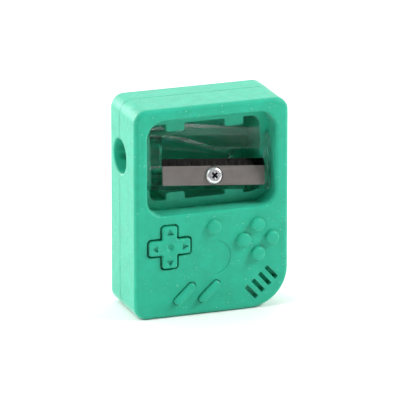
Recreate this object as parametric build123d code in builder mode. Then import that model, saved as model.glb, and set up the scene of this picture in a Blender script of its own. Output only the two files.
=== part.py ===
from build123d import *
from math import tan, radians, cos, sin
import os

# A pocket pencil sharpener: a soft rubber case shaped like a hand-held game, with a clear
# wedge sharpener behind its screen window. The origin is the middle of the base, the front
# faces -Y and +Z is up. Millimetres.

# Case
CASE_WIDTH = 36.0
CASE_DEPTH = 16.7
CASE_HEIGHT = 48.0
CORNER_R = 3.0
BIG_CORNER_R = 9.0
EDGE_R = 1.1
FRONT_Y = -CASE_DEPTH / 2
SEAM_Y = 1.75
SEAM_GROOVE_WIDTH = 0.16
SEAM_GROOVE_DEPTH = 0.10
REAR_WALL = 1.75

# Screen window: a recess with a ledge all round, and a pocket behind the ledge
WINDOW_WIDTH = 30.0
WINDOW_HEIGHT = 21.6
WINDOW_R = 3.9
WINDOW_MID_Z = 34.4
WINDOW_LIP_R = 0.7
LEDGE_DEPTH = 4.85
LEDGE_WIDTH = 2.1
POCKET_R = 1.9
POCKET_WIDTH = WINDOW_WIDTH - 2 * LEDGE_WIDTH
POCKET_HEIGHT = WINDOW_HEIGHT - 2 * LEDGE_WIDTH
LEFT_WALL = (CASE_WIDTH - POCKET_WIDTH) / 2
LEDGE_Y = FRONT_Y + LEDGE_DEPTH
POCKET_FLOOR_Y = CASE_DEPTH / 2 - REAR_WALL
TAB_WIDTH = 4.3
TAB_MID_X = 6.85
TAB_CORNER_R = 0.6
TOP_TAB_DROP = 1.8
BOTTOM_TAB_RISE = 1.7

# Wedge sharpener: the cutting edge runs along the blade, tilted and rolled in the window
EDGE_MID = Vector(1.5, -4.4, 34.45)
EDGE_TILT = 5.2
SEAT_ROLL = 16.0
BLADE_LENGTH = 24.0
BLADE_WIDTH = 5.85
BLADE_THICKNESS = 0.6
BLADE_GAP = 0.02
BEVEL_WIDTH = 1.6
EDGE_LAND = 0.06
BLADE_HOLE_R = 1.25
DISH_R = 2.15
DISH_DEPTH = 0.25

# Pencil hole and cone, on one slanted axis that meets the cutting edge at the cone's apex
PENCIL_R = 3.9
HOLE_MOUTH = Vector(-CASE_WIDTH / 2, SEAM_Y, 35.3)
APEX_ALONG_EDGE = 8.4
TIP_R = 0.7
HOLE_LIP_R = 0.45
HOLE_START_BACK = 2.0
HOLE_OVERRUN = 1.6
HOOD_WALL = 1.0

# Clear body, measured from the middle of the cutting edge, in the front view's own tilt
BODY_GAP = 0.1
BACK_EDGE = 0.2
TAB_GAP = 0.15
END_GAP = 0.15
BODY_TOP = 6.8
BODY_BOTTOM = -6.1
STRIP_TOP = 5.1
STRIP_PROUD = 0.9
PAD_PROUD = 0.3
PAD_START = -0.3
PAD_BOTTOM = 2.5
PAD_R = 1.2
FLANGE_PROUD = 1.6
FLANGE_START = 12.2
FLANGE_TOP = 6.5
FLANGE_END = 13.1
RAIL_BOTTOM = -6.8
SEAT_START = -12.7
SEAT_BOTTOM = -6.15
SEAT_TOP = 0.05
SLOT_LEFT = -12.2
SLOT_END = 4.3
SLOT_END_HEIGHT = 1.85
SLOT_END_DEPTH = 0.95
SLOT_SLOPE = 11.0
NOTCH_START = 4.8
NOTCH_END = 12.2
NOTCH_HEIGHT = 2.1
CORNER_CUT = 1.4
REACH = 20.0

# Blade screw
SCREW_DROP = -3.7
HEAD_R = 1.85
HEAD_HEIGHT = 0.95
HEAD_EDGE_R = 0.5
HEAD_GAP = 0.02
SHANK_R = 1.0
SHANK_LENGTH = 3.9
THREAD_CLEARANCE = 0.03
SCREW_TIP_GAP = 0.2
CROSS_WIDTH = 0.62
CROSS_SPAN = 2.4
CROSS_DEPTH = 0.6

# Keypad, in the front view (X from the middle, Z from the base)
DPAD_MID = (-10.0, 16.4)
DPAD_SPAN = 9.5
DPAD_ARM = 3.35
DPAD_CORNER_R = 0.5
DPAD_NECK_R = 0.4
DPAD_PROUD = 0.6
DPAD_TOP_R = 0.4
DPAD_MOAT = 0.5
MOAT_DEPTH = 1.7
ARROW_SIZE = 0.95
ARROW_REACH = 3.35
ARROW_DEPTH = 0.45
DIMPLE_R = 0.95
DIMPLE_SPHERE_R = 1.15

BUTTON_R = 1.55
BUTTON_PROUD = 0.95
BUTTON_TOP_R = 0.5
BUTTONS = {
    "top_button": (0.4, 20.0),
    "action_button_upper": (10.6, 19.5),
    "action_button_left": (7.35, 16.3),
    "action_button_right": (14.0, 16.2),
    "action_button_lower": (10.7, 12.9),
}

KEY_R = 0.88
KEY_CENTRES = 4.3
KEY_ANGLE = 43.0
KEY_PROUD = 0.75
KEY_TOP_R = 0.4
KEY_MOAT = 0.22
KEY_MOAT_DEPTH = 0.7
KEYS = {"left_menu_key": (-6.5, 5.25), "right_menu_key": (-0.7, 5.2)}

PEG_R = 0.7
PEG_LENGTH = 1.8
PEG_HOLE_EXTRA = 0.2

RING_MID = (0.35, 13.0)
RING_R = 4.0
RING_DEPTH = 0.12
SLOT_COUNT = 4
GRILLE_MID = (11.6, 6.0)
GRILLE_PITCH = 2.07
GRILLE_LENGTH = 3.75
GRILLE_WIDTH = 0.95
GRILLE_DEPTH = 1.5
GRILLE_ANGLE = 42.0


def face_plane(y):
    """Plane facing the front (-Y) at depth y: its local x is X and its local y is Z."""
    return Plane.XZ.offset(-y)


tilt_x = Vector(cos(radians(EDGE_TILT)), 0, -sin(radians(EDGE_TILT)))
tilt_plane = Plane(origin=EDGE_MID, x_dir=tilt_x, z_dir=(0, -1, 0))
lean = radians(SEAT_ROLL)
seat_normal = tilt_plane.z_dir * cos(lean) + tilt_plane.y_dir * sin(lean)
seat_plane = Plane(origin=EDGE_MID, x_dir=tilt_x, z_dir=seat_normal)
apex = EDGE_MID + tilt_x * APEX_ALONG_EDGE
bore_axis = (apex - HOLE_MOUTH).normalized()
bore_plane = Plane(origin=HOLE_MOUTH, z_dir=bore_axis)
half_angle = bore_axis.get_angle(tilt_x)
bore_yaw = -bore_axis.Y / bore_axis.X
cone_start = (apex - HOLE_MOUTH).length - PENCIL_R / tan(radians(half_angle))
cone_length = (PENCIL_R - TIP_R) / tan(radians(half_angle))
body_half = POCKET_WIDTH / 2 - BODY_GAP
plate_half = WINDOW_WIDTH / 2 - END_GAP
plate_back_y = LEDGE_Y - BODY_GAP
hood_start = (CASE_WIDTH / 2 - body_half) / bore_axis.X
section_plane = Plane(origin=EDGE_MID, x_dir=(0, 1, 0), z_dir=tilt_x)
blade_section = Plane(origin=EDGE_MID, x_dir=seat_plane.y_dir, z_dir=seat_plane.x_dir)


def on_left_hole(edge):
    """True for the pencil hole's edge on the left face of the case."""
    middle = edge.center(CenterOf.BOUNDING_BOX)
    near_face = abs(middle.X + CASE_WIDTH / 2) < EDGE_LAND
    near_axis = abs(middle.Z - HOLE_MOUTH.Z) < PENCIL_R and abs(middle.Y - SEAM_Y) < PENCIL_R
    return near_face and near_axis


def case_outline(y, inset=0.0):
    """Front outline of the case at depth y, with one large corner at the lower right."""
    with BuildSketch(face_plane(y)) as outline:
        with Locations((0, CASE_HEIGHT / 2)):
            Rectangle(CASE_WIDTH - 2 * inset, CASE_HEIGHT - 2 * inset)
        fillet(outline.vertices().sort_by(lambda v: v.X - v.Y)[:-1], CORNER_R - inset)
        fillet(outline.vertices().sort_by(lambda v: v.X - v.Y)[-1], BIG_CORNER_R - inset)
    return outline.sketch


def cross_outline(y, grow=0.0):
    """Direction pad outline at depth y, grown outwards by grow."""
    with BuildSketch(face_plane(y)) as cross:
        with Locations(DPAD_MID):
            Rectangle(DPAD_SPAN, DPAD_ARM)
            Rectangle(DPAD_ARM, DPAD_SPAN)
        reach = DPAD_SPAN / 2
        mid = Vector(DPAD_MID[0], DPAD_MID[1])
        fillet(
            cross.vertices().filter_by(lambda v: (Vector(v.X, v.Y) - mid).length < reach),
            DPAD_NECK_R,
        )
        fillet(
            cross.vertices().filter_by(lambda v: (Vector(v.X, v.Y) - mid).length > reach),
            DPAD_CORNER_R,
        )
        if grow:
            offset(amount=grow, kind=Kind.ARC)
    return cross.sketch


def key_outline(y, spot, grow=0.0):
    """Slanted pill outline of a menu key at depth y, grown outwards by grow."""
    with BuildSketch(face_plane(y)) as pill:
        with Locations(spot):
            SlotCenterToCenter(KEY_CENTRES, 2 * (KEY_R + grow), rotation=KEY_ANGLE)
    return pill.sketch


def disc(y, spot, radius):
    """Round outline at depth y."""
    with BuildSketch(face_plane(y)) as circle:
        with Locations(spot):
            Circle(radius)
    return circle.sketch


def window_rectangle(y, width, height, radius):
    """Rounded rectangle about the window's middle at depth y."""
    with BuildSketch(face_plane(y)) as window:
        with Locations((0, WINDOW_MID_Z)):
            RectangleRounded(width, height, radius)
    return window.sketch


# ---- Case: made whole, then parted at the seam
pocket_top = WINDOW_MID_Z + POCKET_HEIGHT / 2
pocket_bottom = WINDOW_MID_Z - POCKET_HEIGHT / 2
groove_back = SEAM_Y + SEAM_GROOVE_WIDTH / 2

with BuildPart() as seam_groove:
    extrude(case_outline(groove_back), amount=SEAM_GROOVE_WIDTH)
    extrude(
        case_outline(groove_back, SEAM_GROOVE_DEPTH), amount=SEAM_GROOVE_WIDTH, mode=Mode.SUBTRACT
    )

with BuildPart() as case:
    extrude(case_outline(CASE_DEPTH / 2), amount=CASE_DEPTH)
    rims = case.faces().sort_by(Axis.Y)
    fillet(rims[0].edges() + rims[-1].edges(), EDGE_R)

    recess = window_rectangle(FRONT_Y, WINDOW_WIDTH, WINDOW_HEIGHT, WINDOW_R)
    extrude(recess, amount=-LEDGE_DEPTH, mode=Mode.SUBTRACT)
    fillet(case.faces().sort_by(Axis.Y)[0].inner_wires()[0].edges(), WINDOW_LIP_R)
    pocket = window_rectangle(LEDGE_Y, POCKET_WIDTH, POCKET_HEIGHT, POCKET_R)
    extrude(pocket, amount=LEDGE_Y - POCKET_FLOOR_Y, mode=Mode.SUBTRACT)

    # Four tabs that hold the wedge sharpener above and below
    with BuildSketch(face_plane(LEDGE_Y)) as tabs:
        with Locations((-TAB_MID_X, pocket_top), (TAB_MID_X, pocket_top)):
            Rectangle(TAB_WIDTH, 2 * TOP_TAB_DROP)
        with Locations((-TAB_MID_X, pocket_bottom), (TAB_MID_X, pocket_bottom)):
            Rectangle(TAB_WIDTH, 2 * BOTTOM_TAB_RISE)
        half_height = POCKET_HEIGHT / 2
        tips = tabs.vertices().filter_by(lambda v: abs(v.Y - WINDOW_MID_Z) < half_height)
        fillet(tips, TAB_CORNER_R)
    extrude(amount=LEDGE_Y - POCKET_FLOOR_Y)

    # Pencil hole through the left wall
    with BuildSketch(bore_plane.offset(-HOLE_START_BACK)):
        Circle(PENCIL_R)
    extrude(amount=HOLE_START_BACK + LEFT_WALL + HOLE_OVERRUN, mode=Mode.SUBTRACT)
    hole_edges = case.edges().filter_by(on_left_hole)
    fillet(hole_edges, HOLE_LIP_R)

    # Sockets of the keypad
    extrude(cross_outline(FRONT_Y, DPAD_MOAT), amount=-MOAT_DEPTH, mode=Mode.SUBTRACT)
    for spot in KEYS.values():
        extrude(key_outline(FRONT_Y, spot, KEY_MOAT), amount=-KEY_MOAT_DEPTH, mode=Mode.SUBTRACT)
    peg_holes = [(DPAD_MID, MOAT_DEPTH)]
    peg_holes += [(spot, KEY_MOAT_DEPTH) for spot in KEYS.values()]
    peg_holes += [(spot, 0.0) for spot in BUTTONS.values()]
    for spot, depth in peg_holes:
        peg_hole = disc(FRONT_Y, spot, PEG_R)
        extrude(peg_hole, amount=-(depth + PEG_LENGTH + PEG_HOLE_EXTRA), mode=Mode.SUBTRACT)

    # Faint round panel and the four slanted sound slots
    extrude(disc(FRONT_Y, RING_MID, RING_R), amount=-RING_DEPTH, mode=Mode.SUBTRACT)
    with BuildSketch(face_plane(FRONT_Y)):
        for i in range(SLOT_COUNT):
            step = (i - (SLOT_COUNT - 1) / 2) * GRILLE_PITCH
            slot_x = GRILLE_MID[0] + step * cos(radians(GRILLE_ANGLE))
            slot_z = GRILLE_MID[1] + step * sin(radians(GRILLE_ANGLE))
            with Locations((slot_x, slot_z)):
                Rectangle(GRILLE_LENGTH, GRILLE_WIDTH, rotation=GRILLE_ANGLE - 90)
    extrude(amount=-GRILLE_DEPTH, mode=Mode.SUBTRACT)
    add(seam_groove.part, mode=Mode.SUBTRACT)

seam_plane = face_plane(SEAM_Y)

with BuildPart() as front_shell:
    add(case.part)
    split(bisect_by=seam_plane, keep=Keep.TOP)
front_shell.part.label = "front_shell"

with BuildPart() as rear_shell:
    add(case.part)
    split(bisect_by=seam_plane, keep=Keep.BOTTOM)
rear_shell.part.label = "rear_shell"


# ---- Keypad pieces, each with a peg behind it
with BuildPart() as direction_pad:
    extrude(cross_outline(FRONT_Y + MOAT_DEPTH), amount=MOAT_DEPTH + DPAD_PROUD)
    top = direction_pad.faces().sort_by(Axis.Y)[0]
    fillet(top.edges(), DPAD_TOP_R)
    with BuildSketch(face_plane(FRONT_Y - DPAD_PROUD)):
        for turn in range(0, 360, 90):
            arrow_x = DPAD_MID[0] + ARROW_REACH * cos(radians(turn))
            arrow_z = DPAD_MID[1] + ARROW_REACH * sin(radians(turn))
            with Locations((arrow_x, arrow_z)):
                RegularPolygon(ARROW_SIZE, 3, rotation=turn)
    extrude(amount=-ARROW_DEPTH, mode=Mode.SUBTRACT)
    dimple_y = FRONT_Y - DPAD_PROUD - (DIMPLE_SPHERE_R**2 - DIMPLE_R**2) ** 0.5
    with Locations((DPAD_MID[0], dimple_y, DPAD_MID[1])):
        Sphere(DIMPLE_SPHERE_R, mode=Mode.SUBTRACT)
    extrude(disc(FRONT_Y + MOAT_DEPTH, DPAD_MID, PEG_R), amount=-PEG_LENGTH)
direction_pad.part.label = "direction_pad"


def menu_key(spot):
    """Slanted pill key, seated on the floor of its own socket."""
    with BuildPart() as key:
        extrude(key_outline(FRONT_Y + KEY_MOAT_DEPTH, spot), amount=KEY_MOAT_DEPTH + KEY_PROUD)
        fillet(key.faces().sort_by(Axis.Y)[0].edges(), KEY_TOP_R)
        extrude(disc(FRONT_Y + KEY_MOAT_DEPTH, spot, PEG_R), amount=-PEG_LENGTH)
    return key


def round_button(spot):
    """Round stud that stands on the front face, with its peg pressed into the case."""
    with BuildPart() as button:
        extrude(disc(FRONT_Y, spot, BUTTON_R), amount=BUTTON_PROUD)
        fillet(button.faces().sort_by(Axis.Y)[0].edges(), BUTTON_TOP_R)
        extrude(disc(FRONT_Y, spot, PEG_R), amount=-PEG_LENGTH)
    return button


keypad = {name: menu_key(spot) for name, spot in KEYS.items()}
keypad.update({name: round_button(spot) for name, spot in BUTTONS.items()})
for name, piece in keypad.items():
    piece.part.label = name


# ---- Clear wedge sharpener
def seat_point(up, out):
    """Point of the section plane that lies this far up the blade's seat and out of it."""
    return (up * sin(lean) - out * cos(lean), up * cos(lean) + out * sin(lean))


tab_clear_z = pocket_top - TOP_TAB_DROP - TAB_GAP
tab_clear_x = -TAB_MID_X + TAB_WIDTH / 2 + TAB_GAP
back_plane = Plane(origin=(body_half, plate_back_y + BACK_EDGE, 0), z_dir=(bore_yaw, 1, 0))
depth_back = POCKET_FLOOR_Y - plate_back_y
slot_rise = (SLOT_END - SLOT_LEFT) * tan(radians(SLOT_SLOPE))
slot_deepen = (SLOT_END - SLOT_LEFT) * tan(radians(half_angle))
slot_section = Plane(origin=EDGE_MID, x_dir=tilt_x, z_dir=-seat_plane.y_dir)
block_front = Vector(EDGE_MID.X, plate_back_y, EDGE_MID.Z)
head_base = BLADE_GAP + BLADE_THICKNESS - DISH_DEPTH + HEAD_GAP

with BuildPart() as front_plate:
    # Plate in front of the ledge: its front leans with the blade's seat
    with BuildSketch(section_plane):
        with BuildLine():
            back = plate_back_y - EDGE_MID.Y
            foot = seat_point(RAIL_BOTTOM, STRIP_PROUD)
            brow = seat_point(STRIP_TOP, STRIP_PROUD)
            Polyline((back, foot[1]), foot, brow, (back, brow[1]), close=True)
        make_face()
    extrude(amount=REACH, both=True)
    with BuildSketch(seat_plane):
        with Locations(((FLANGE_START + REACH) / 2, (RAIL_BOTTOM + FLANGE_TOP) / 2)):
            Rectangle(REACH - FLANGE_START, FLANGE_TOP - RAIL_BOTTOM)
    extrude(amount=FLANGE_PROUD)
    with BuildSketch(seat_plane.offset(STRIP_PROUD)):
        with Locations(((PAD_START + NOTCH_END) / 2, (PAD_BOTTOM + STRIP_TOP) / 2)):
            RectangleRounded(NOTCH_END - PAD_START, STRIP_TOP - PAD_BOTTOM, PAD_R)
    extrude(amount=PAD_PROUD)
    with Locations((0, plate_back_y - REACH / 2, EDGE_MID.Z)):
        Box(2 * plate_half, REACH, 2 * REACH, mode=Mode.INTERSECT)
    split(bisect_by=Plane(origin=EDGE_MID + tilt_x * FLANGE_END, z_dir=tilt_x), keep=Keep.BOTTOM)
    for side, height in ((1, FLANGE_TOP), (-1, RAIL_BOTTOM)):
        cut_from = EDGE_MID + tilt_x * (FLANGE_END - CORNER_CUT) + tilt_plane.y_dir * height
        cut_plane = Plane(origin=cut_from, z_dir=tilt_x + tilt_plane.y_dir * side)
        split(bisect_by=cut_plane, keep=Keep.BOTTOM)

with BuildPart() as shavings_slot:
    # Slot above the cutting edge, deepest at the pencil's end
    with BuildSketch(seat_plane.offset(REACH)):
        with BuildLine():
            Polyline(
                (SLOT_LEFT, 0),
                (SLOT_END, 0),
                (SLOT_END, SLOT_END_HEIGHT),
                (SLOT_LEFT, SLOT_END_HEIGHT + slot_rise),
                close=True,
            )
        make_face()
    extrude(amount=-2 * REACH)
    with BuildSketch(slot_section):
        with BuildLine():
            Polyline(
                (SLOT_LEFT, REACH),
                (SLOT_END, REACH),
                (SLOT_END, -SLOT_END_DEPTH),
                (SLOT_LEFT, -SLOT_END_DEPTH - slot_deepen),
                close=True,
            )
        make_face()
    extrude(amount=REACH, both=True, mode=Mode.INTERSECT)

with BuildPart() as wedge:
    # Block in the pocket, thinning towards the blunt end, with the cone's hood behind it
    with BuildSketch(Plane(block_front, x_dir=tilt_x, z_dir=(0, -1, 0))):
        with Locations((0, (BODY_TOP + BODY_BOTTOM) / 2)):
            Rectangle(2 * REACH, BODY_TOP - BODY_BOTTOM)
    extrude(amount=-depth_back)
    split(bisect_by=back_plane, keep=Keep.BOTTOM)
    with BuildSketch(bore_plane.offset(hood_start - HOLE_START_BACK)):
        Circle(PENCIL_R + HOOD_WALL)
    extrude(amount=cone_start - hood_start + HOLE_START_BACK)
    with BuildSketch(bore_plane.offset(cone_start)):
        Circle(PENCIL_R + HOOD_WALL)
    extrude(amount=cone_length, taper=half_angle)
    with Locations((0, plate_back_y + depth_back / 2, EDGE_MID.Z)):
        Box(2 * body_half, depth_back, 2 * REACH, mode=Mode.INTERSECT)
    with Locations((tab_clear_x - REACH / 2, 0, tab_clear_z + REACH / 2)):
        Box(REACH, 2 * REACH, REACH, mode=Mode.SUBTRACT)
    add(front_plate.part)

    # Blade seat
    with BuildSketch(seat_plane):
        with Locations(((SEAT_START + FLANGE_START) / 2, (SEAT_TOP + SEAT_BOTTOM) / 2)):
            Rectangle(FLANGE_START - SEAT_START, SEAT_TOP - SEAT_BOTTOM)
    extrude(amount=REACH, mode=Mode.SUBTRACT)

    add(shavings_slot.part, mode=Mode.SUBTRACT)
    with BuildSketch(seat_plane.offset(REACH)):
        with Locations(((NOTCH_START + NOTCH_END) / 2, NOTCH_HEIGHT / 2)):
            Rectangle(NOTCH_END - NOTCH_START, NOTCH_HEIGHT)
    extrude(amount=-2 * REACH, mode=Mode.SUBTRACT)

    # Pencil's lead-in and cone
    with BuildSketch(bore_plane.offset(hood_start - HOLE_START_BACK)):
        Circle(PENCIL_R)
    extrude(amount=cone_start - hood_start + HOLE_START_BACK, mode=Mode.SUBTRACT)
    with BuildSketch(bore_plane.offset(cone_start)):
        Circle(PENCIL_R)
    extrude(amount=cone_length, taper=half_angle, mode=Mode.SUBTRACT)

    # Hole for the screw
    with BuildSketch(seat_plane):
        with Locations((0, SCREW_DROP)):
            Circle(SHANK_R + THREAD_CLEARANCE)
    extrude(amount=-SHANK_LENGTH - SCREW_TIP_GAP, mode=Mode.SUBTRACT)
wedge.part.label = "sharpener_body"


# ---- Blade: ground bevel on its outer face, cutting edge upwards
with BuildPart() as blade:
    with BuildSketch(blade_section):
        with BuildLine():
            Polyline(
                (0, BLADE_GAP),
                (0, BLADE_GAP + EDGE_LAND),
                (-BEVEL_WIDTH, BLADE_GAP + BLADE_THICKNESS),
                (-BLADE_WIDTH, BLADE_GAP + BLADE_THICKNESS),
                (-BLADE_WIDTH, BLADE_GAP),
                close=True,
            )
        make_face()
    extrude(amount=BLADE_LENGTH / 2, both=True)
    with BuildSketch(seat_plane):
        with Locations((0, SCREW_DROP)):
            Circle(BLADE_HOLE_R)
    extrude(amount=REACH, mode=Mode.SUBTRACT)
    with BuildSketch(seat_plane.offset(BLADE_GAP + BLADE_THICKNESS)):
        with Locations((0, SCREW_DROP)):
            Circle(DISH_R)
    extrude(amount=-DISH_DEPTH, mode=Mode.SUBTRACT)
blade.part.label = "blade"


# ---- Blade screw: pan head with a cross recess, threaded shank as a plain cylinder
with BuildPart() as blade_screw:
    with BuildSketch(seat_plane.offset(head_base)):
        with Locations((0, SCREW_DROP)):
            Circle(HEAD_R)
    extrude(amount=HEAD_HEIGHT)
    crown = blade_screw.faces().sort_by(Axis(EDGE_MID, seat_plane.z_dir))[-1]
    fillet(crown.edges(), HEAD_EDGE_R)
    with BuildSketch(seat_plane.offset(head_base + HEAD_HEIGHT)):
        with Locations((0, SCREW_DROP)):
            for turn in (45, -45):
                Rectangle(CROSS_SPAN, CROSS_WIDTH, rotation=turn)
    extrude(amount=-CROSS_DEPTH, mode=Mode.SUBTRACT)
    with BuildSketch(seat_plane.offset(head_base)):
        with Locations((0, SCREW_DROP)):
            Circle(SHANK_R)
    extrude(amount=-SHANK_LENGTH)
blade_screw.part.label = "blade_screw"

os.makedirs("parts", exist_ok=True)
pieces = [front_shell, rear_shell, direction_pad, *keypad.values(), wedge, blade, blade_screw]
for piece in pieces:
    export_step(piece.part, f"parts/{piece.part.label}.step")
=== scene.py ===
"""Looks of a pocket pencil sharpener: a soft rubber case shaped like a hand-held game, with a
clear wedge sharpener, its blade and its screw behind the screen window. Metres, +Z up."""

import logging
import math
from dataclasses import dataclass, field
from enum import Enum
from typing import Callable, Iterable

import bmesh
import bpy
from mathutils import Matrix, Vector, noise


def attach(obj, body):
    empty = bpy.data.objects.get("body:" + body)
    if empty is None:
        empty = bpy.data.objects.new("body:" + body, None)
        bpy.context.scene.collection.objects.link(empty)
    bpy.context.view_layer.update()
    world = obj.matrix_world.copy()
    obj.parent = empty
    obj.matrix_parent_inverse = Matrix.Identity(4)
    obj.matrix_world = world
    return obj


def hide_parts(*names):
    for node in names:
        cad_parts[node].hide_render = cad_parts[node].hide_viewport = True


MM = 0.001
Triple = tuple[float, float, float]
Colour = Triple
Spot = tuple[float, float]
Socket = bpy.types.NodeSocket
Shape = bmesh.types.BMesh
Material = bpy.types.Material
Piece = bpy.types.Object
log = logging.getLogger("sharpener")

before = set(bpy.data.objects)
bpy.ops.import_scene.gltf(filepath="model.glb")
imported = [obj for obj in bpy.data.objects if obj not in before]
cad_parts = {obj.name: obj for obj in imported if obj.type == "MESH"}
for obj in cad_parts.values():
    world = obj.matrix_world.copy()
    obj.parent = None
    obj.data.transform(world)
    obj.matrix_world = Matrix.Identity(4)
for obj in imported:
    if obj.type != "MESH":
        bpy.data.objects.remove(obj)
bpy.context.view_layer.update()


class Body(Enum):
    """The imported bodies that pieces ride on."""

    CASE = "case"
    INSERT = "insert"
    BLADE = "blade"
    SCREW = "screw"


class Slot(Enum):
    """Material slot names."""

    CASE = "case"
    CLEAR = "clear_body"
    BLADE = "blade"
    SCREW = "screw"


# ---- Material helpers


class Recipe:
    """A material under construction, on object coordinates counted in millimetres."""

    def __init__(self, name: str) -> None:
        """Starts an empty material with one principled shader.

        Args:
            name: the material's name.
        """
        self.material = bpy.data.materials.new(name)
        self.material.use_nodes = True
        self.tree = self.material.node_tree
        self.tree.nodes.clear()
        self.output = self.tree.nodes.new("ShaderNodeOutputMaterial")
        self.shader = self.tree.nodes.new("ShaderNodeBsdfPrincipled")
        self.tree.links.new(self.shader.outputs["BSDF"], self.output.inputs["Surface"])
        self.coordinates = self.tree.nodes.new("ShaderNodeTexCoord").outputs["Object"]

    def link(self, source: Socket, target: Socket) -> None:
        """Joins two sockets."""
        self.tree.links.new(source, target)

    def set(self, **values: float | Colour) -> None:
        """Sets the shader's own sockets.

        Args:
            values: socket names with underscores for spaces.
        """
        for name, value in values.items():
            socket = self.shader.inputs[name.replace("_", " ")]
            socket.default_value = (*value, 1.0) if isinstance(value, tuple) else value

    def place(self, scale: Triple = (1.0, 1.0, 1.0), turn: Triple = (0.0, 0.0, 0.0)) -> Socket:
        """Object coordinates in millimetres, stretched and turned.

        Args:
            scale: factor along each axis after the turn.
            turn: angles in degrees.

        Returns:
            The vector socket.
        """
        turned = self.tree.nodes.new("ShaderNodeMapping")
        turned.inputs["Rotation"].default_value = [math.radians(a) for a in turn]
        self.link(self.coordinates, turned.inputs["Vector"])
        sized = self.tree.nodes.new("ShaderNodeVectorMath")
        sized.operation = "MULTIPLY"
        sized.inputs[1].default_value = [s / MM for s in scale]
        self.link(turned.outputs["Vector"], sized.inputs[0])
        return sized.outputs["Vector"]

    def grain(self, per_mm: float, detail: float = 3.0, vector: Socket | None = None) -> Socket:
        """Smooth noise.

        Args:
            per_mm: features in each millimetre.
            detail: octaves.
            vector: where it is read, or None for plain coordinates.

        Returns:
            The factor socket, near 0.5 on average.
        """
        cloud = self.tree.nodes.new("ShaderNodeTexNoise")
        cloud.inputs["Scale"].default_value = per_mm
        cloud.inputs["Detail"].default_value = detail
        self.link(vector or self.place(), cloud.inputs["Vector"])
        return cloud.outputs["Fac"]

    def cells(self, per_mm: float, vector: Socket | None = None) -> Socket:
        """Distance to scattered points, in cells.

        Args:
            per_mm: cells in each millimetre.
            vector: where it is read, or None for plain coordinates.

        Returns:
            The distance socket.
        """
        points = self.tree.nodes.new("ShaderNodeTexVoronoi")
        points.inputs["Scale"].default_value = per_mm
        self.link(vector or self.place(), points.inputs["Vector"])
        return points.outputs["Distance"]

    def remap(
        self, source: Socket, low: float, high: float, to_low: float = 0.0, to_high: float = 1.0
    ) -> Socket:
        """Clamped linear change of range.

        Args:
            source: the value.
            low: value that becomes to_low.
            high: value that becomes to_high.
            to_low: result at low.
            to_high: result at high.

        Returns:
            The result socket.
        """
        ranged = self.tree.nodes.new("ShaderNodeMapRange")
        limits = {"From Min": low, "From Max": high, "To Min": to_low, "To Max": to_high}
        for name, value in limits.items():
            ranged.inputs[name].default_value = value
        self.link(source, ranged.inputs["Value"])
        return ranged.outputs["Result"]

    def combine(self, operation: str, first: Socket, second: Socket | float) -> Socket:
        """One sum of two values.

        Args:
            operation: the Math node's operation.
            first: first value.
            second: second value, a socket or a number.

        Returns:
            The result socket.
        """
        sum_node = self.tree.nodes.new("ShaderNodeMath")
        sum_node.operation = operation
        self.link(first, sum_node.inputs[0])
        if isinstance(second, (int, float)):
            sum_node.inputs[1].default_value = second
        else:
            self.link(second, sum_node.inputs[1])
        return sum_node.outputs["Value"]

    def along(self, direction: Vector, origin: Vector) -> Socket:
        """Signed distance in millimetres along a direction from a point.

        Args:
            direction: unit vector.
            origin: the zero point, in metres.

        Returns:
            The distance socket.
        """
        dot = self.tree.nodes.new("ShaderNodeVectorMath")
        dot.operation = "DOT_PRODUCT"
        dot.inputs[1].default_value = direction
        self.link(self.place(), dot.inputs[0])
        return self.combine("SUBTRACT", dot.outputs["Value"], direction.dot(origin) / MM)

    def distance_from(self, point: Vector) -> Socket:
        """Distance in millimetres from a point.

        Args:
            point: the point, in metres.

        Returns:
            The distance socket.
        """
        apart = self.tree.nodes.new("ShaderNodeVectorMath")
        apart.operation = "DISTANCE"
        apart.inputs[1].default_value = point / MM
        self.link(self.place(), apart.inputs[0])
        return apart.outputs["Value"]

    def blend(self, amount: Socket, first: Colour | Socket, second: Colour | Socket) -> Socket:
        """Mix of two colours.

        Args:
            amount: 0 for the first, 1 for the second.
            first: colour or socket.
            second: colour or socket.

        Returns:
            The colour socket.
        """
        mixed = self.tree.nodes.new("ShaderNodeMix")
        mixed.data_type = "RGBA"
        self.link(amount, mixed.inputs["Factor"])
        for socket, value in ((mixed.inputs[6], first), (mixed.inputs[7], second)):
            if isinstance(value, tuple):
                socket.default_value = (*value, 1.0)
            else:
                self.link(value, socket)
        return mixed.outputs[2]

    def colour(self, socket: Socket) -> None:
        """Drives the base colour."""
        self.link(socket, self.shader.inputs["Base Color"])

    def roughness(self, socket: Socket) -> None:
        """Drives the roughness."""
        self.link(socket, self.shader.inputs["Roughness"])

    def relief(self, layers: Iterable[tuple[Socket, float]], soften: float = 0.0) -> None:
        """Bump from several layers, over edges that are rounded in the shading.

        Args:
            layers: pairs of a height socket and its depth in millimetres.
            soften: radius of the softened edges in millimetres, or 0.
        """
        normal = None
        if soften:
            rounded = self.tree.nodes.new("ShaderNodeBevel")
            rounded.samples = 6
            rounded.inputs["Radius"].default_value = soften * MM
            normal = rounded.outputs["Normal"]
        for height, depth in layers:
            bump = self.tree.nodes.new("ShaderNodeBump")
            bump.inputs["Strength"].default_value = 1.0
            bump.inputs["Distance"].default_value = depth * MM
            self.link(height, bump.inputs["Height"])
            if normal:
                self.link(normal, bump.inputs["Normal"])
            normal = bump.outputs["Normal"]
        if normal:
            self.link(normal, self.shader.inputs["Normal"])


def shaded(tone: Colour, factor: float) -> Colour:
    """A tone made darker or lighter.

    Args:
        tone: the colour.
        factor: what each channel is multiplied by.

    Returns:
        The new colour.
    """
    return tuple(channel * factor for channel in tone)


# ---- Finishes


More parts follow.
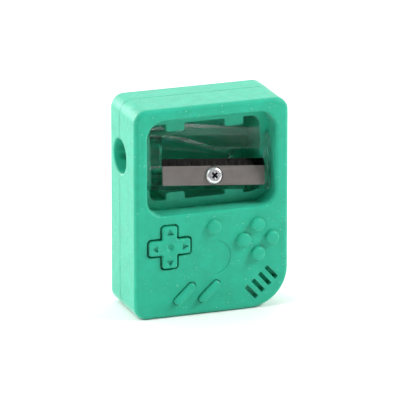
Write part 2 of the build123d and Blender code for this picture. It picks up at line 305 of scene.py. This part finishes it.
@dataclass(frozen=True)
class SoftRubber:
    """Matte mint rubber with pale dust, faint smears and fine scratches."""

    name: str
    tone: Colour = (0.006, 0.465, 0.290)
    deep_tone: Colour = (0.005, 0.415, 0.252)
    dust_tone: Colour = (0.30, 0.68, 0.56)
    dust_amount: float = 0.9
    edge_softness: float = 0.14

    def material(self) -> Material:
        """Builds the material.

        Returns:
            The finished material.
        """
        mix = Recipe(self.name)
        mix.set(IOR=1.5, Sheen_Weight=0.4, Sheen_Roughness=0.3, Specular_IOR_Level=0.5)
        mottle = mix.blend(mix.remap(mix.grain(0.35, 4.0), 0.35, 0.65), self.deep_tone, self.tone)
        specks = mix.remap(mix.cells(1.1), 0.14, 0.07)
        fields = mix.remap(mix.grain(0.22, 2.0), 0.42, 0.56)
        fine_specks = mix.remap(mix.cells(2.9), 0.12, 0.05, 0.0, 0.5)
        dust = mix.combine("MULTIPLY", mix.combine("MAXIMUM", specks, fine_specks), fields)
        lines = mix.grain(0.8, 1.0, mix.place((0.28, 0.28, 5.0), (0.0, 34.0, 0.0)))
        other_lines = mix.grain(0.8, 1.0, mix.place((6.0, 0.3, 0.25), (0.0, 21.0, 0.0)))
        lines = mix.remap(lines, 0.74, 0.8)
        scratches = mix.combine("MULTIPLY", lines, mix.remap(other_lines, 0.45, 0.7))
        pale = mix.combine("MULTIPLY", mix.combine("MAXIMUM", dust, scratches), self.dust_amount)
        mix.colour(mix.blend(pale, mottle, self.dust_tone))
        mix.roughness(mix.remap(mix.grain(1.3, 3.0), 0.3, 0.7, 0.5, 0.64))
        layers = ((mix.grain(7.0, 3.0), 0.012), (mix.grain(0.5, 2.0), 0.03), (pale, 0.01))
        mix.relief(layers, self.edge_softness)
        return mix.material


@dataclass(frozen=True)
class ClearPlastic:
    """Polished clear plastic with faint moulding waves, a round ejector mark and a few specks."""

    name: str
    mark_middle: Vector
    mark_radius: float = 0.85
    mark_line: float = 0.07
    tint: Colour = (0.93, 0.975, 0.965)
    index: float = 1.34
    clearness: float = 0.22
    edge_softness: float = 0.05

    def material(self) -> Material:
        """Builds the material.

        Returns:
            The finished material.
        """
        mix = Recipe(self.name)
        mix.set(IOR=self.index, Transmission_Weight=1.0)
        specks = mix.remap(mix.cells(1.6), 0.09, 0.04, 0.0, 0.5)
        mix.colour(mix.blend(specks, self.tint, (0.75, 0.8, 0.79)))
        mix.roughness(mix.remap(mix.grain(0.6, 4.0), 0.35, 0.75, 0.0, 0.02))
        off_ring = mix.combine("SUBTRACT", mix.distance_from(self.mark_middle), self.mark_radius)
        ring = mix.remap(mix.combine("ABSOLUTE", off_ring, 0.0), 0.0, self.mark_line, 1.0, 0.0)
        layers = ((mix.grain(0.3, 1.0), 0.008), (mix.grain(2.5, 2.0), 0.002), (ring, 0.05))
        mix.relief(layers, self.edge_softness)
        see_through = mix.tree.nodes.new("ShaderNodeBsdfTransparent")
        see_through.inputs["Color"].default_value = (*self.tint, 1.0)
        thinned = mix.tree.nodes.new("ShaderNodeMixShader")
        thinned.inputs["Fac"].default_value = self.clearness
        mix.link(mix.shader.outputs["BSDF"], thinned.inputs[1])
        mix.link(see_through.outputs["BSDF"], thinned.inputs[2])
        mix.link(thinned.outputs["Shader"], mix.output.inputs["Surface"])
        return mix.material


@dataclass(frozen=True)
class BladeSteel:
    """Satin steel with lengthways brushing, and cross grinding on the bevel, whose near-black colour
    is painted shade for the dark reflection it shows.
    """

    name: str
    edge_middle: Vector
    along_edge: Vector
    up_blade: Vector
    flat_tone: Colour = (0.43, 0.395, 0.378)
    # painted shade: near-black bevel colour that stands for the dark reflection the bevel shows, not
    # the steel's own colour
    painted_dark_bevel_tone: Colour = (0.0115, 0.011, 0.0105)
    bevel_width: float = 1.6

    def material(self) -> Material:
        """Builds the material.

        Returns:
            The finished material.
        """
        mix = Recipe(self.name)
        mix.set(Metallic=1.0)
        height = mix.along(self.up_blade, self.edge_middle)
        bevel = mix.remap(height, -self.bevel_width - 0.04, -self.bevel_width + 0.04)
        run = mix.along(self.along_edge, self.edge_middle)
        grind_at = mix.tree.nodes.new("ShaderNodeCombineXYZ")
        mix.link(mix.combine("MULTIPLY", run, 7.0), grind_at.inputs["X"])
        mix.link(mix.combine("MULTIPLY", height, 0.25), grind_at.inputs["Y"])
        brush_at = mix.tree.nodes.new("ShaderNodeCombineXYZ")
        mix.link(mix.combine("MULTIPLY", run, 0.12), brush_at.inputs["X"])
        mix.link(mix.combine("MULTIPLY", height, 9.0), brush_at.inputs["Y"])
        grind = mix.grain(1.0, 4.0, grind_at.outputs["Vector"])
        brush = mix.grain(1.0, 4.0, brush_at.outputs["Vector"])
        stains = mix.remap(mix.grain(0.5, 4.0), 0.4, 0.7, 0.0, 0.35)
        flat = mix.blend(mix.remap(brush, 0.3, 0.7), shaded(self.flat_tone, 0.85), self.flat_tone)
        flat = mix.blend(stains, flat, shaded(self.flat_tone, 0.7))
        ridges = mix.remap(grind, 0.35, 0.7)
        # painted shade: the bevel is given a near-black colour for the dark reflection it shows, with
        # the grind ridges a little lighter
        ground = mix.blend(ridges, self.painted_dark_bevel_tone, shaded(self.painted_dark_bevel_tone, 2.6))
        mix.colour(mix.blend(bevel, flat, ground))
        rough_flat = mix.remap(brush, 0.3, 0.7, 0.34, 0.46)
        rough_bevel = mix.remap(grind, 0.3, 0.7, 0.22, 0.4)
        rough = mix.tree.nodes.new("ShaderNodeMix")
        mix.link(bevel, rough.inputs["Factor"])
        mix.link(rough_flat, rough.inputs[2])
        mix.link(rough_bevel, rough.inputs[3])
        mix.roughness(rough.outputs[0])
        mix.relief(((brush, 0.002), (mix.combine("MULTIPLY", grind, bevel), 0.008)))
        return mix.material


@dataclass(frozen=True)
class PlatedSteel:
    """Bright plated steel with hairline marks and smears, and painted shade that darkens the driver's
    recess.
    """

    name: str
    crown: Vector
    outward: Vector
    recess_reach: float = 1.22
    tone: Colour = (0.86, 0.86, 0.88)
    # dark tone for the random smears, and for the painted shade in the driver's recess
    smear_and_shade_tone: Colour = (0.02, 0.019, 0.018)

    def material(self) -> Material:
        """Builds the material.

        Returns:
            The finished material.
        """
        mix = Recipe(self.name)
        mix.set(Metallic=0.8)
        smears = mix.remap(mix.grain(2.2, 4.0), 0.58, 0.74, 0.0, 0.5)
        # painted shade: the driver's recess, sunk below the crown and within recess_reach of its
        # middle, is blended to the dark tone; the smears are random marks
        sunk = mix.remap(mix.along(self.outward, self.crown), -0.04, -0.16)
        from_middle = mix.distance_from(self.crown)
        central = mix.remap(from_middle, self.recess_reach, self.recess_reach - 0.05)
        smears_and_recess_shade = mix.combine("MAXIMUM", smears, mix.combine("MULTIPLY", sunk, central))
        mix.colour(mix.blend(smears_and_recess_shade, self.tone, self.smear_and_shade_tone))
        mix.roughness(mix.remap(mix.grain(3.0, 3.0), 0.3, 0.7, 0.24, 0.4))
        mix.relief(((mix.grain(9.0, 2.0, mix.place((1.0, 1.0, 4.0))), 0.003),), 0.05)
        return mix.material


@dataclass(frozen=True)
class StudioSheet:
    """White paper under the object."""

    name: str
    tone: Colour = (0.95, 0.95, 0.95)

    def material(self) -> Material:
        """Builds the material.

        Returns:
            The finished material.
        """
        mix = Recipe(self.name)
        mix.set(Specular_IOR_Level=0.1, Roughness=0.9)
        shade = mix.remap(mix.grain(0.05, 2.0), 0.3, 0.7)
        mix.colour(mix.blend(shade, self.tone, shaded(self.tone, 0.99)))
        return mix.material


# ---- Mesh helpers


def finish_piece(
    shape: Shape,
    name: str,
    body: Body,
    slot: Slot,
    material: Material,
    sharp_angle: float = 32.0,
    stands_for: tuple[str, ...] = (),
) -> Piece:
    """Turns a bmesh into a piece that rides on a body.

    Args:
        shape: the modelled shape, in metres in the shared frame; it is freed.
        name: the piece's name.
        body: the body it rides on.
        slot: not used.
        material: its finish.
        sharp_angle: edges that turn by more degrees than this stay sharp.
        stands_for: CAD nodes that it replaces.

    Returns:
        The new object.
    """
    mesh = bpy.data.meshes.new(name)
    shape.to_mesh(mesh)
    shape.free()
    mesh.shade_smooth()
    mesh.set_sharp_from_angle(angle=math.radians(sharp_angle))
    mesh.materials.append(material)
    piece = bpy.data.objects.new(name, mesh)
    bpy.context.scene.collection.objects.link(piece)
    weighted = piece.modifiers.new("weighted_normals", "WEIGHTED_NORMAL")
    weighted.mode = "FACE_AREA"
    weighted.weight = 90
    weighted.keep_sharp = True
    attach(piece, body.value)
    if stands_for:
        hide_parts(*stands_for)
    log.info("%s: %d faces on %s", name, len(mesh.polygons), body.value)
    return piece


def rubber_piece(shape: Shape, name: str, rubber: Material, *stands_for: str) -> Piece:
    """Turns a bmesh into a rubber piece of the case.

    Args:
        shape: the modelled shape; it is freed.
        name: the piece's name.
        rubber: its finish.
        stands_for: CAD nodes that it replaces.

    Returns:
        The new object.
    """
    return finish_piece(shape, name, Body.CASE, Slot.CASE, rubber, stands_for=stands_for)


def merged_copy(node: str) -> Shape:
    """A node's mesh with its loose triangles joined and its flat faces made whole.

    Args:
        node: the CAD node.

    Returns:
        The joined shape.
    """
    shape = bmesh.new()
    shape.from_mesh(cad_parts[node].data)
    bmesh.ops.remove_doubles(shape, verts=shape.verts, dist=0.0005 * MM)
    bmesh.ops.dissolve_limit(
        shape, angle_limit=math.radians(0.4), verts=shape.verts, edges=shape.edges, delimit={"NORMAL"}
    )
    return shape


def rim_edges(shape: Shape, test: Callable[[Vector], bool]) -> list[bmesh.types.BMEdge]:
    """Edges whose two ends both pass a test.

    Args:
        shape: where to look.
        test: takes a vertex's place.

    Returns:
        The edges.
    """
    return [edge for edge in shape.edges if all(test(vertex.co) for vertex in edge.verts)]


def round_over(shape: Shape, edges: list[bmesh.types.BMEdge], radius: float, steps: int) -> None:
    """Rounds edges in place.

    Args:
        shape: the shape.
        edges: edges to round.
        radius: in metres.
        steps: faces across each rounding.
    """
    bmesh.ops.bevel(
        shape,
        geom=edges,
        offset=radius,
        offset_type="OFFSET",
        segments=steps,
        profile=0.5,
        affect="EDGES",
        material=-1,
        clamp_overlap=True,
    )


def onto_front(spot: Spot, front: float, turn: float = 0.0) -> Matrix:
    """Matrix that stands a shape made along +Z on the front face.

    Args:
        spot: X and Z in millimetres.
        front: Y of the shape's foot in millimetres.
        turn: turn in the face, in degrees.

    Returns:
        The matrix.
    """
    place = Matrix.Translation(Vector((spot[0], front, spot[1])) * MM)
    facing = Matrix.Rotation(math.radians(90.0), 4, "X")
    return place @ facing @ Matrix.Rotation(math.radians(turn), 4, "Z")


# ---- Sub-assemblies


@dataclass
class RubberCase:
    """The soft case: two shells and the ragged flash of the window's upper rim."""

    front: float = -8.35
    window_top: float = 45.2
    lip: float = 0.75
    flash_half_length: float = 10.6
    flash_depth: float = 0.55
    flash_height: float = 0.16
    finish: SoftRubber = field(default_factory=lambda: SoftRubber("case_rubber"))

    def build(self) -> list[Piece]:
        """Builds and dresses the case.

        Returns:
            The pieces.
        """
        rubber = self.finish.material()
        shells = [
            rubber_piece(merged_copy(node), f"{node}_skin", rubber, node)
            for node in ("front_shell", "rear_shell")
        ]
        return [*shells, self.flash(rubber)]

    def flash(self, rubber: Material) -> Piece:
        """Thin uneven moulding flash that hangs from the window's upper rim.

        Args:
            rubber: the case's material.

        Returns:
            The flash.
        """
        shape = bmesh.new()
        bmesh.ops.create_grid(shape, x_segments=120, y_segments=2, size=1.0)
        span = Matrix.Diagonal((self.flash_half_length * MM, self.flash_depth / 2 * MM, 1.0, 1.0))
        bmesh.ops.transform(shape, matrix=span, verts=shape.verts)
        for vertex in shape.verts:
            ragged = noise.noise(Vector((vertex.co.x / MM * 1.7, 3.0, 0.0)))
            hanging = max(0.0, -vertex.co.y / MM / self.flash_depth + 0.5)
            vertex.co.z = -hanging * (0.5 + ragged) * self.flash_height * MM
        middle = self.front + self.lip + self.flash_depth / 2
        drop = Vector((0.0, middle, self.window_top)) * MM
        bmesh.ops.translate(shape, vec=drop, verts=shape.verts)
        bmesh.ops.solidify(shape, geom=shape.faces[:], thickness=0.05 * MM)
        bmesh.ops.recalc_face_normals(shape, faces=shape.faces)
        return rubber_piece(shape, "window_flash", rubber)


@dataclass
class Keypad:
    """The cross pad, the round studs and the two slanted keys."""

    front: float = -8.35
    stud_radius: float = 1.55
    stud_height: float = 0.95
    stud_round: float = 0.52
    stud_crown: float = 0.07
    studs: dict[str, Spot] = field(
        default_factory=lambda: {
            "top_button": (0.4, 20.0),
            "action_button_upper": (10.6, 19.5),
            "action_button_left": (7.35, 16.3),
            "action_button_right": (14.0, 16.2),
            "action_button_lower": (10.7, 12.9),
        }
    )
    key_radius: float = 0.88
    key_span: float = 4.3
    key_turn: float = 43.0
    key_sunk: float = 0.7
    key_proud: float = 0.8
    key_round: float = 0.4
    key_segments: int = 48
    keys: dict[str, Spot] = field(
        default_factory=lambda: {"left_menu_key": (-6.5, 5.25), "right_menu_key": (-0.7, 5.2)}
    )
    finish: SoftRubber = field(
        default_factory=lambda: SoftRubber("keypad_rubber", dust_amount=0.6, edge_softness=0.05)
    )

    def build(self) -> list[Piece]:
        """Builds and dresses the keypad.

        Returns:
            The pieces.
        """
        rubber = self.finish.material()
        pad = merged_copy("direction_pad")
        pieces = [rubber_piece(pad, "cross_pad", rubber, "direction_pad")]
        for node, spot in self.studs.items():
            pieces.append(rubber_piece(self.stud(spot), f"{node}_cap", rubber, node))
        for node, spot in self.keys.items():
            pieces.append(rubber_piece(self.key(spot), f"{node}_cap", rubber, node))
        return pieces

    def stud(self, spot: Spot) -> Shape:
        """A round stud with a rounded rim and a slightly crowned top.

        Args:
            spot: X and Z in millimetres.

        Returns:
            The shape.
        """
        shape = bmesh.new()
        radius, height = self.stud_radius * MM, self.stud_height * MM
        bmesh.ops.create_cone(
            shape, cap_ends=True, segments=56, radius1=radius, radius2=radius, depth=height
        )
        bmesh.ops.translate(shape, vec=(0.0, 0.0, height / 2), verts=shape.verts)
        rim = rim_edges(shape, lambda place: place.z > height * 0.9)
        round_over(shape, rim, self.stud_round * MM, 7)
        crown = max(shape.faces, key=lambda face: face.calc_center_median().z)
        inset = (radius - self.stud_round * MM) / 5
        for step in range(4):
            bmesh.ops.inset_individual(shape, faces=[crown], thickness=inset)
            rise = Vector((0.0, 0.0, self.stud_crown * MM / (2 + step)))
            bmesh.ops.translate(shape, vec=rise, verts=crown.verts)
        bmesh.ops.poke(shape, faces=[crown])
        foot = rim_edges(shape, lambda place: place.z < height * 0.01)
        sides = bmesh.ops.extrude_edge_only(shape, edges=foot)["geom"]
        flared = [item for item in sides if isinstance(item, bmesh.types.BMVert)]
        for vertex in flared:
            vertex.co.xy *= 1.07
        bmesh.ops.translate(shape, vec=(0.0, 0.0, -0.03 * MM), verts=flared)
        bmesh.ops.recalc_face_normals(shape, faces=shape.faces)
        bmesh.ops.transform(shape, matrix=onto_front(spot, self.front), verts=shape.verts)
        return shape

    def key(self, spot: Spot) -> Shape:
        """A slanted pill key that stands on the floor of its moat.

        Args:
            spot: X and Z in millimetres.

        Returns:
            The shape.
        """
        shape = bmesh.new()
        height = (self.key_sunk + self.key_proud) * MM
        bmesh.ops.create_circle(
            shape, cap_ends=True, radius=self.key_radius * MM, segments=self.key_segments
        )
        half_step = Matrix.Rotation(math.pi / self.key_segments, 3, "Z")
        bmesh.ops.rotate(shape, matrix=half_step, verts=shape.verts)
        half = self.key_span / 2 * MM
        right = [vertex for vertex in shape.verts if vertex.co.x > 0]
        left = [vertex for vertex in shape.verts if vertex.co.x < 0]
        bmesh.ops.translate(shape, vec=(half, 0.0, 0.0), verts=right)
        bmesh.ops.translate(shape, vec=(-half, 0.0, 0.0), verts=left)
        lifted = bmesh.ops.extrude_face_region(shape, geom=shape.faces[:])["geom"]
        top = [item for item in lifted if isinstance(item, bmesh.types.BMVert)]
        bmesh.ops.translate(shape, vec=(0.0, 0.0, height), verts=top)
        bmesh.ops.recalc_face_normals(shape, faces=shape.faces)
        rim = rim_edges(shape, lambda place: place.z > height * 0.9)
        round_over(shape, rim, self.key_round * MM, 6)
        stand = onto_front(spot, self.front + self.key_sunk, self.key_turn)
        bmesh.ops.transform(shape, matrix=stand, verts=shape.verts)
        return shape


@dataclass
class Sharpener:
    """The clear wedge, its blade and its screw, placed by the cutting edge."""

    edge_middle: Vector = field(default_factory=lambda: Vector((1.5, -4.4, 34.45)) * MM)
    along_edge: Vector = field(default_factory=lambda: Vector((0.995884, 0.0, -0.090633)))
    up_blade: Vector = field(default_factory=lambda: Vector((0.087122, 0.275637, 0.957306)))
    out_of_seat: Vector = field(default_factory=lambda: Vector((0.024982, -0.961262, 0.274503)))
    mark_offset: Triple = (8.7, 3.5, 1.2)
    screw_drop: float = -3.7
    head_base: float = 0.39
    head_radius: float = 1.85
    head_height: float = 0.95
    head_round: float = 0.62
    foot_round: float = 0.08
    shank_radius: float = 0.78
    thread_radius: float = 1.0
    shank_length: float = 3.9
    pitch: float = 0.5
    cross_half: float = 1.2
    cross_width: float = 0.66
    cross_depth: float = 0.65

    def build(self) -> list[Piece]:
        """Builds and dresses the sharpener.

        Returns:
            The pieces.
        """
        return [self.wedge(), self.blade(), *self.screw()]

    def seat_point(self, along: float, up: float, out: float) -> Vector:
        """Point given by its distances from the middle of the cutting edge.

        Args:
            along: millimetres along the edge.
            up: millimetres up the blade.
            out: millimetres out of the blade's seat.

        Returns:
            The point, in metres.
        """
        offset = self.along_edge * along + self.up_blade * up + self.out_of_seat * out
        return self.edge_middle + offset * MM

    def wedge(self) -> Piece:
        """The clear body, with its sharp edges eased."""
        clear = ClearPlastic("clear_plastic", self.seat_point(*self.mark_offset)).material()
        shape = merged_copy("sharpener_body")
        return finish_piece(
            shape, "clear_wedge", Body.INSERT, Slot.CLEAR, clear, 24.0, ("sharpener_body",)
        )

    def blade(self) -> Piece:
        """The ground blade."""
        finish = BladeSteel("blade_steel", self.edge_middle, self.along_edge, self.up_blade)
        shape, steel = merged_copy("blade"), finish.material()
        return finish_piece(
            shape, "steel_blade", Body.BLADE, Slot.BLADE, steel, 12.0, ("blade",)
        )

    def screw_matrix(self) -> Matrix:
        """Matrix from a screw made along +Z, with its head's underside at 0, to its place."""
        turn = Matrix((self.along_edge, self.up_blade, self.out_of_seat)).transposed().to_4x4()
        return Matrix.Translation(self.seat_point(0.0, self.screw_drop, self.head_base)) @ turn

    def screw(self) -> list[Piece]:
        """The cross-head screw: its head, and its core with the thread.

        Returns:
            The head and the threaded core.
        """
        crown = self.screw_matrix() @ Vector((0.0, 0.0, self.head_height * MM))
        plated = PlatedSteel("plated_steel", crown, self.out_of_seat).material()
        head = bmesh.new()
        radius, height = self.head_radius * MM, self.head_height * MM
        bmesh.ops.create_cone(
            head, cap_ends=True, segments=64, radius1=radius, radius2=radius, depth=height
        )
        bmesh.ops.translate(head, vec=(0.0, 0.0, height / 2), verts=head.verts)
        crown_rim = rim_edges(head, lambda place: place.z > height * 0.9)
        round_over(head, crown_rim, self.head_round * MM, 8)
        foot_rim = rim_edges(head, lambda place: place.z < height * 0.01)
        round_over(head, foot_rim, self.foot_round * MM, 2)
        for turn in (45.0, -45.0):
            head = self.carved(head, self.recess_arm(turn))
        bmesh.ops.transform(head, matrix=self.screw_matrix(), verts=head.verts)
        riding = (Body.SCREW, Slot.SCREW, plated, 28.0)
        return [
            finish_piece(head, "screw_head", *riding, ("blade_screw",)),
            finish_piece(self.thread(), "screw_thread", *riding),
        ]

    def recess_arm(self, turn: float) -> Shape:
        """One tapered arm of the driver's recess, standing through the head's top.

        Args:
            turn: its direction, in degrees.

        Returns:
            The shape to cut away.
        """
        shape = bmesh.new()
        arm = bmesh.ops.create_cube(shape, size=1.0)["verts"]
        sides = Vector((2 * self.cross_half, self.cross_width, 2 * self.cross_depth)) * MM
        bmesh.ops.scale(shape, vec=sides, verts=arm)
        foot = [vertex for vertex in arm if vertex.co.z < 0]
        bmesh.ops.scale(shape, vec=(0.45, 0.6, 1.0), verts=foot)
        bmesh.ops.rotate(shape, matrix=Matrix.Rotation(math.radians(turn), 3, "Z"), verts=arm)
        bmesh.ops.translate(shape, vec=(0.0, 0.0, self.head_height * MM), verts=arm)
        return shape

    def carved(self, shape: Shape, cutter: Shape) -> Shape:
        """A shape with another taken away from it.

        Args:
            shape: what is cut; it is freed.
            cutter: what is taken away; it is freed.

        Returns:
            The cut shape.
        """
        passing = []
        for name, source in (("blank", shape), ("cutter", cutter)):
            mesh = bpy.data.meshes.new(name)
            source.to_mesh(mesh)
            source.free()
            passing.append(bpy.data.objects.new(name, mesh))
            bpy.context.scene.collection.objects.link(passing[-1])
        cut = passing[0].modifiers.new("cut", "BOOLEAN")
        cut.operation = "DIFFERENCE"
        cut.solver = "EXACT"
        cut.object = passing[1]
        bpy.context.view_layer.update()
        whole = bmesh.new()
        whole.from_object(passing[0], bpy.context.evaluated_depsgraph_get())
        for temporary in passing:
            bpy.data.objects.remove(temporary)
        return whole

    def thread(self) -> Shape:
        """The screw's core with its thread: one tooth swept round it.

        Returns:
            The shape, in place.
        """
        shape = bmesh.new()
        inner = self.shank_radius * 0.72 * MM
        outer = self.thread_radius * 0.97 * MM
        half = self.pitch * 0.42 * MM
        bmesh.ops.create_circle(shape, cap_ends=True, radius=half, segments=3)
        stand = Matrix.Translation((inner, 0.0, 0.0)) @ Matrix.Rotation(math.radians(90.0), 4, "X")
        bmesh.ops.transform(shape, matrix=stand, verts=shape.verts)
        tip = max(shape.verts, key=lambda vertex: vertex.co.x)
        tip.co = (outer, 0.0, 0.0)
        for vertex in shape.verts:
            if vertex is not tip:
                vertex.co.x = inner
        turns = int((self.shank_length - 0.9) / self.pitch)
        bmesh.ops.translate(shape, vec=(0.0, 0.0, (0.4 - self.shank_length) * MM), verts=shape.verts)
        bmesh.ops.spin(
            shape,
            geom=shape.faces[:] + shape.edges[:] + shape.verts[:],
            cent=(0.0, 0.0, 0.0),
            axis=(0.0, 0.0, 1.0),
            dvec=(0.0, 0.0, self.pitch * MM / 36),
            angle=math.tau * turns,
            steps=36 * turns,
        )
        core = bmesh.ops.create_cone(
            shape,
            cap_ends=True,
            segments=40,
            radius1=self.shank_radius * 0.7 * MM,
            radius2=self.shank_radius * MM,
            depth=self.shank_length * MM,
        )["verts"]
        bmesh.ops.translate(shape, vec=(0.0, 0.0, -self.shank_length / 2 * MM), verts=core)
        bmesh.ops.recalc_face_normals(shape, faces=shape.faces)
        bmesh.ops.transform(shape, matrix=self.screw_matrix(), verts=shape.verts)
        return shape


@dataclass
class Studio:
    """White paper, soft lights and a long lens."""

    aim: Vector = field(default_factory=lambda: Vector((0.156, 0.0, 23.76)) * MM)
    azimuth: float = -20.0
    elevation: float = 17.2
    distance: float = 1.2
    view_width: float = 88.5 * MM
    sheet_size: float = 6.0
    bright_side: Triple = (-0.45, 0.85, 0.25)
    bright_level: float = 1.5
    dark_level: float = 0.025
    softboxes: dict[str, tuple[Triple, float, float]] = field(
        default_factory=lambda: {
            "upper_right": ((0.62, -0.3, 0.5), 0.22, 5.8),
            "behind_left": ((-0.35, 0.9, 0.14), 0.5, 8.8),
            "grazing_left": ((-0.5, -0.13, 0.6), 0.16, 1.3),
        }
    )
    finish: StudioSheet = field(default_factory=lambda: StudioSheet("white_paper"))

    def build(self) -> None:
        """Builds the paper, the world, the lights and the camera."""
        self.sheet()
        self.world()
        for name, (place, size, power) in self.softboxes.items():
            self.softbox(name, Vector(place), size, power)
        self.camera()

    def sheet(self) -> None:
        """The paper that the object stands on."""
        shape = bmesh.new()
        bmesh.ops.create_grid(shape, x_segments=4, y_segments=4, size=self.sheet_size / 2)
        mesh = bpy.data.meshes.new("studio_floor")
        shape.to_mesh(mesh)
        shape.free()
        mesh.materials.append(self.finish.material())
        floor = bpy.data.objects.new("studio_floor", mesh)
        bpy.context.scene.collection.objects.link(floor)

    def world(self) -> None:
        """Soft light from behind and the left, and little from the front."""
        world = bpy.data.worlds.new("studio_light")
        bpy.context.scene.world = world
        world.use_nodes = True
        nodes, links = world.node_tree.nodes, world.node_tree.links
        coordinates = nodes.new("ShaderNodeTexCoord")
        toward = nodes.new("ShaderNodeVectorMath")
        toward.operation = "DOT_PRODUCT"
        toward.inputs[1].default_value = self.bright_side
        links.new(coordinates.outputs["Generated"], toward.inputs[0])
        ramp = nodes.new("ShaderNodeMapRange")
        ramp.inputs["From Min"].default_value = -0.3
        ramp.inputs["From Max"].default_value = 0.5
        ramp.inputs["To Min"].default_value = self.dark_level
        ramp.inputs["To Max"].default_value = self.bright_level
        links.new(toward.outputs["Value"], ramp.inputs["Value"])
        background = nodes["Background"]
        background.inputs["Color"].default_value = (1.0, 1.0, 1.0, 1.0)
        links.new(ramp.outputs["Result"], background.inputs["Strength"])

    def softbox(self, name: str, place: Vector, size: float, power: float) -> None:
        """A square light that faces the object.

        Args:
            name: the light's name.
            place: where it stands, in metres.
            size: its side, in metres.
            power: in watts.
        """
        data = bpy.data.lights.new(name, "AREA")
        data.size = size
        data.energy = power
        light = bpy.data.objects.new(name, data)
        light.location = place
        light.visible_camera = False
        light.rotation_euler = (self.aim - place).to_track_quat("-Z", "Y").to_euler()
        bpy.context.scene.collection.objects.link(light)

    def camera(self) -> None:
        """The camera, far away behind a long lens."""
        data = bpy.data.cameras.new("camera")
        turn, rise = math.radians(self.azimuth), math.radians(self.elevation)
        level = math.cos(rise)
        back = Vector((math.sin(turn) * level, -math.cos(turn) * level, math.sin(rise)))
        data.sensor_width = 36.0
        data.lens = 36.0 * self.distance / self.view_width
        data.clip_start, data.clip_end = 0.05, 20.0
        camera = bpy.data.objects.new("camera", data)
        camera.location = self.aim + back * self.distance
        camera.rotation_euler = (-back).to_track_quat("-Z", "Y").to_euler()
        bpy.context.scene.collection.objects.link(camera)
        bpy.context.scene.camera = camera


def main() -> None:
    """Builds the sharpener and the studio in order."""
    logging.basicConfig(level=logging.INFO, format="%(name)s: %(message)s")
    bpy.context.scene.view_settings.view_transform = "Standard"
    pieces: list[Piece] = []
    for part in (RubberCase(), Keypad(), Sharpener()):
        built = part.build()
        log.info("%s: %d pieces", type(part).__name__, len(built))
        pieces += built
    Studio().build()
    log.info("%d pieces in all", len(pieces))


if __name__ == "__main__":
    main()
